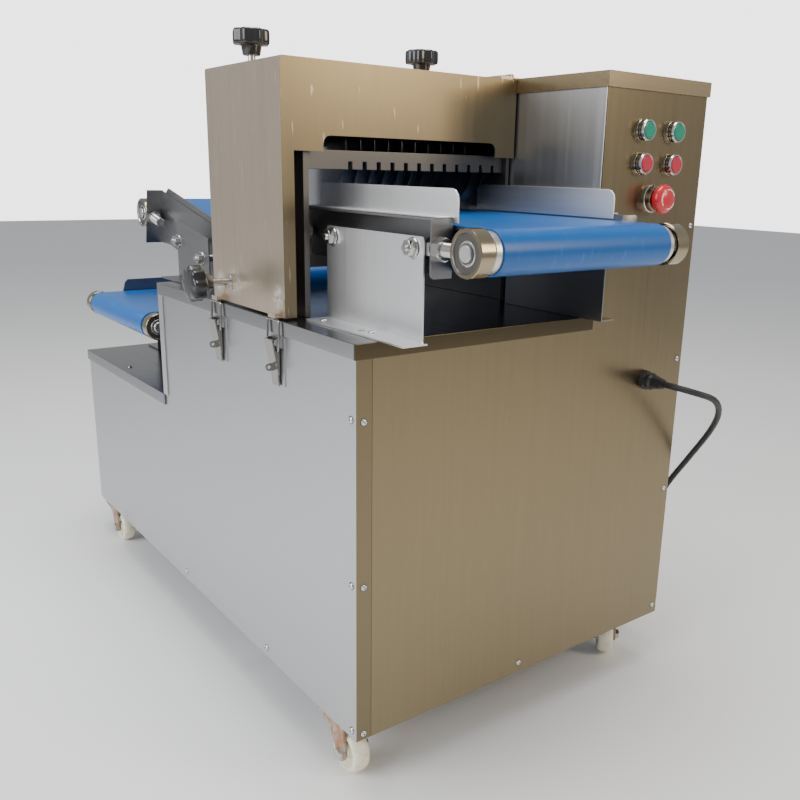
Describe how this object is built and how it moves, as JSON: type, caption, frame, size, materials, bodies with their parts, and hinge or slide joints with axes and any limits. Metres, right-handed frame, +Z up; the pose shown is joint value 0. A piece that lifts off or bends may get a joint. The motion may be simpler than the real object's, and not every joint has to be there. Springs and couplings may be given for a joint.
{
  "type": "frozen meat slicer",
  "caption": "Stainless conveyor slicer for frozen blocks: blue infeed, outfeed and cross belts, hinged blade cover, control tower and four casters.",
  "frame": {"origin": "middle of the machine's outline on the floor, cord left out", "axes": "+X to the control tower's side, +Y from the infeed to the rear, +Z up"},
  "size_m": [0.8695, 1.2404, 0.976],
  "materials": {
    "black_plastic": "glossy black",
    "black_rubber": "smooth",
    "blue_belt": "smooth blue belting",
    "cover_steel": "brushed stainless sheet, upright grain",
    "drum_metal": "turned",
    "frame_steel": "plain steel, satin",
    "green_cap": "green",
    "ivory_nylon": "cream nylon",
    "latch_steel": "polished stainless",
    "machined_steel": "machined",
    "motor_paint": "dark blue-grey",
    "panel_steel": "brushed stainless sheet",
    "pedal_grey": "pale grey",
    "red_cap": "red"
  },
  "bodies": {
    "machine": {"base_frame": "frame_steel", "cable_gland": "black_plastic", "cord_coil": "black_rubber", "cross_belt": "blue_belt", "cross_frame": "frame_steel", "deck_top": "panel_steel", "drive_belt": "black_rubber", "drive_motor": "motor_paint", "front_panel": "panel_steel", "head_frame": "frame_steel", "infeed_belt": "blue_belt", "infeed_frame": "frame_steel", "infeed_left_bracket": "panel_steel", "infeed_left_guard": "panel_steel", "infeed_left_take_up": "machined_steel", "infeed_right_guard": "panel_steel", "infeed_right_take_up": "machined_steel", "left_panel": "panel_steel", "outfeed_belt": "blue_belt", "outfeed_frame": "frame_steel", "power_cord": "black_rubber", "power_plug": "black_plastic", "rear_panel": "panel_steel", "right_panel": "panel_steel", "step_panel": "panel_steel", "table_top": "panel_steel", "tower_cap": "panel_steel", "tower_side_panel": "panel_steel", "upper_comb": "machined_steel"},
    "infeed_front_drum": {"infeed_front_drum": "drum_metal"},
    "infeed_rear_drum": {"infeed_rear_drum": "drum_metal"},
    "outfeed_front_drum": {"outfeed_front_drum": "drum_metal"},
    "outfeed_rear_drum": {"outfeed_rear_drum": "drum_metal"},
    "cross_end_drum": {"cross_end_drum": "drum_metal"},
    "cross_start_drum": {"cross_start_drum": "drum_metal"},
    "blade_gang": {"blade_gang": "machined_steel"},
    "motor_pulley": {"motor_pulley": "machined_steel"},
    "cover": {"cover": "cover_steel"},
    "top_left_knob": {"top_left_knob": "black_plastic"},
    "top_right_knob": {"top_right_knob": "black_plastic"},
    "side_knob": {"side_knob": "black_plastic"},
    "stop_button": {"stop_button": "red_cap"},
    "green_button_left": {"green_button_left": "green_cap"},
    "red_button_left": {"red_button_left": "red_cap"},
    "green_button_right": {"green_button_right": "green_cap"},
    "red_button_right": {"red_button_right": "red_cap"},
    "front_latch_lever": {"front_latch_lever": "latch_steel"},
    "front_latch_bail": {"front_latch_bail": "latch_steel"},
    "rear_latch_lever": {"rear_latch_lever": "latch_steel"},
    "rear_latch_bail": {"rear_latch_bail": "latch_steel"},
    "front_left_fork": {"front_left_fork": "frame_steel"},
    "front_left_wheel": {"front_left_wheel": "ivory_nylon"},
    "front_right_fork": {"front_right_fork": "frame_steel"},
    "front_right_wheel": {"front_right_wheel": "ivory_nylon"},
    "rear_left_fork": {"rear_left_fork": "frame_steel"},
    "rear_left_wheel": {"rear_left_wheel": "ivory_nylon"},
    "rear_right_fork": {"rear_right_fork": "frame_steel"},
    "rear_right_wheel": {"rear_right_wheel": "ivory_nylon"},
    "front_left_pedal": {"front_left_pedal": "pedal_grey"},
    "rear_left_pedal": {"rear_left_pedal": "pedal_grey"}
  },
  "joints": [
    {"name": "infeed_front_drum_turn", "type": "hinge", "parent": "machine", "child": "infeed_front_drum", "pos_m": [-0.0325, -0.59375, 0.72], "axis": [1, 0, 0], "continuous": true},
    {"name": "infeed_rear_drum_turn", "type": "hinge", "parent": "machine", "child": "infeed_rear_drum", "pos_m": [-0.0325, -0.16575, 0.72], "axis": [1, 0, 0], "continuous": true},
    {"name": "outfeed_front_drum_turn", "type": "hinge", "parent": "machine", "child": "outfeed_front_drum", "pos_m": [-0.0325, -0.031, 0.62424], "axis": [1, 0, 0], "continuous": true},
    {"name": "outfeed_rear_drum_turn", "type": "hinge", "parent": "machine", "child": "outfeed_rear_drum", "pos_m": [-0.0325, 0.37725, 0.714], "axis": [1, 0, 0], "continuous": true},
    {"name": "blade_gang_turn", "type": "hinge", "parent": "machine", "child": "blade_gang", "pos_m": [-0.0325, -0.20075, 0.835], "axis": [1, 0, 0], "continuous": true},
    {"name": "motor_pulley_turn", "type": "hinge", "parent": "machine", "child": "motor_pulley", "pos_m": [0.1335, -0.05575, 0.25], "axis": [1, 0, 0], "continuous": true},
    {"name": "cross_end_drum_turn", "type": "hinge", "parent": "machine", "child": "cross_end_drum", "pos_m": [-0.2585, 0.33675, 0.53], "axis": [0, 1, 0], "continuous": true},
    {"name": "cross_start_drum_turn", "type": "hinge", "parent": "machine", "child": "cross_start_drum", "pos_m": [0.1315, 0.33675, 0.53], "axis": [0, 1, 0], "continuous": true},
    {"name": "cover_turn", "type": "hinge", "parent": "machine", "child": "cover", "pos_m": [0.11735, -0.20325, 0.9378], "axis": [0, 1, 0], "range_deg": [0, 90]},
    {"name": "top_left_knob_turn", "type": "hinge", "parent": "cover", "child": "top_left_knob", "pos_m": [-0.2365, -0.18075, 0.932], "axis": [0, 0, 1], "range_deg": [-360, 360]},
    {"name": "top_right_knob_turn", "type": "hinge", "parent": "cover", "child": "top_right_knob", "pos_m": [0.0425, -0.18075, 0.932], "axis": [0, 0, 1], "range_deg": [-360, 360]},
    {"name": "side_knob_turn", "type": "hinge", "parent": "cover", "child": "side_knob", "pos_m": [-0.2655, -0.16775, 0.648], "axis": [1, 0, 0], "range_deg": [-360, 360]},
    {"name": "front_latch_lever_turn", "type": "hinge", "parent": "machine", "child": "front_latch_lever", "pos_m": [-0.2755, -0.29575, 0.585], "axis": [0, 1, 0], "range_deg": [0, 90]},
    {"name": "front_latch_bail_turn", "type": "hinge", "parent": "front_latch_lever", "child": "front_latch_bail", "pos_m": [-0.2755, -0.29575, 0.574], "axis": [0, 1, 0], "range_deg": [-135, 0]},
    {"name": "rear_latch_lever_turn", "type": "hinge", "parent": "machine", "child": "rear_latch_lever", "pos_m": [-0.2755, -0.11775, 0.585], "axis": [0, 1, 0], "range_deg": [0, 90]},
    {"name": "rear_latch_bail_turn", "type": "hinge", "parent": "rear_latch_lever", "child": "rear_latch_bail", "pos_m": [-0.2755, -0.11775, 0.574], "axis": [0, 1, 0], "range_deg": [-135, 0]},
    {"name": "front_left_fork_turn", "type": "hinge", "parent": "machine", "child": "front_left_fork", "pos_m": [-0.2385, -0.40375, 0], "axis": [0, 0, 1], "continuous": true},
    {"name": "front_left_wheel_turn", "type": "hinge", "parent": "front_left_fork", "child": "front_left_wheel", "pos_m": [-0.2385, -0.42575, 0.032], "axis": [1, 0, 0], "continuous": true},
    {"name": "front_left_pedal_turn", "type": "hinge", "parent": "front_left_fork", "child": "front_left_pedal", "pos_m": [-0.2385, -0.36375, 0.0757], "axis": [1, 0, 0], "range_deg": [-20, 0]},
    {"name": "front_right_fork_turn", "type": "hinge", "parent": "machine", "child": "front_right_fork", "pos_m": [0.3015, -0.40375, 0], "axis": [0, 0, 1], "continuous": true},
    {"name": "front_right_wheel_turn", "type": "hinge", "parent": "front_right_fork", "child": "front_right_wheel", "pos_m": [0.28594, -0.41931, 0.032], "axis": [0.7071, -0.7071, 0], "continuous": true},
    {"name": "rear_left_fork_turn", "type": "hinge", "parent": "machine", "child": "rear_left_fork", "pos_m": [-0.2385, 0.53225, 0], "axis": [0, 0, 1], "continuous": true},
    {"name": "rear_left_wheel_turn", "type": "hinge", "parent": "rear_left_fork", "child": "rear_left_wheel", "pos_m": [-0.2385, 0.51025, 0.032], "axis": [1, 0, 0], "continuous": true},
    {"name": "rear_left_pedal_turn", "type": "hinge", "parent": "rear_left_fork", "child": "rear_left_pedal", "pos_m": [-0.2385, 0.57225, 0.0757], "axis": [1, 0, 0], "range_deg": [-20, 0]},
    {"name": "rear_right_fork_turn", "type": "hinge", "parent": "machine", "child": "rear_right_fork", "pos_m": [0.3015, 0.53225, 0], "axis": [0, 0, 1], "continuous": true},
    {"name": "rear_right_wheel_turn", "type": "hinge", "parent": "rear_right_fork", "child": "rear_right_wheel", "pos_m": [0.2922, 0.51231, 0.032], "axis": [0.9063, -0.4226, 0], "continuous": true},
    {"name": "green_button_left_press", "type": "slide", "parent": "machine", "child": "green_button_left", "axis": [0, 1, 0], "range_m": [0, 0.003], "stiffness_N_per_m": 300},
    {"name": "red_button_left_press", "type": "slide", "parent": "machine", "child": "red_button_left", "axis": [0, 1, 0], "range_m": [0, 0.003], "stiffness_N_per_m": 300},
    {"name": "green_button_right_press", "type": "slide", "parent": "machine", "child": "green_button_right", "axis": [0, 1, 0], "range_m": [0, 0.003], "stiffness_N_per_m": 300},
    {"name": "red_button_right_press", "type": "slide", "parent": "machine", "child": "red_button_right", "axis": [0, 1, 0], "range_m": [0, 0.003], "stiffness_N_per_m": 300},
    {"name": "stop_button_press", "type": "slide", "parent": "machine", "child": "stop_button", "axis": [0, 1, 0], "range_m": [0, 0.004], "stiffness_N_per_m": 500}
  ],
  "couplings": [
    {"joint": "infeed_front_drum_turn", "follows": "infeed_rear_drum_turn", "ratio": 1},
    {"joint": "outfeed_front_drum_turn", "follows": "outfeed_rear_drum_turn", "ratio": 1},
    {"joint": "cross_end_drum_turn", "follows": "cross_start_drum_turn", "ratio": 1},
    {"joint": "motor_pulley_turn", "follows": "blade_gang_turn", "ratio": 2},
    {"joint": "front_latch_bail_turn", "follows": "front_latch_lever_turn", "ratio": -1.5},
    {"joint": "rear_latch_bail_turn", "follows": "rear_latch_lever_turn", "ratio": -1.5}
  ]
}
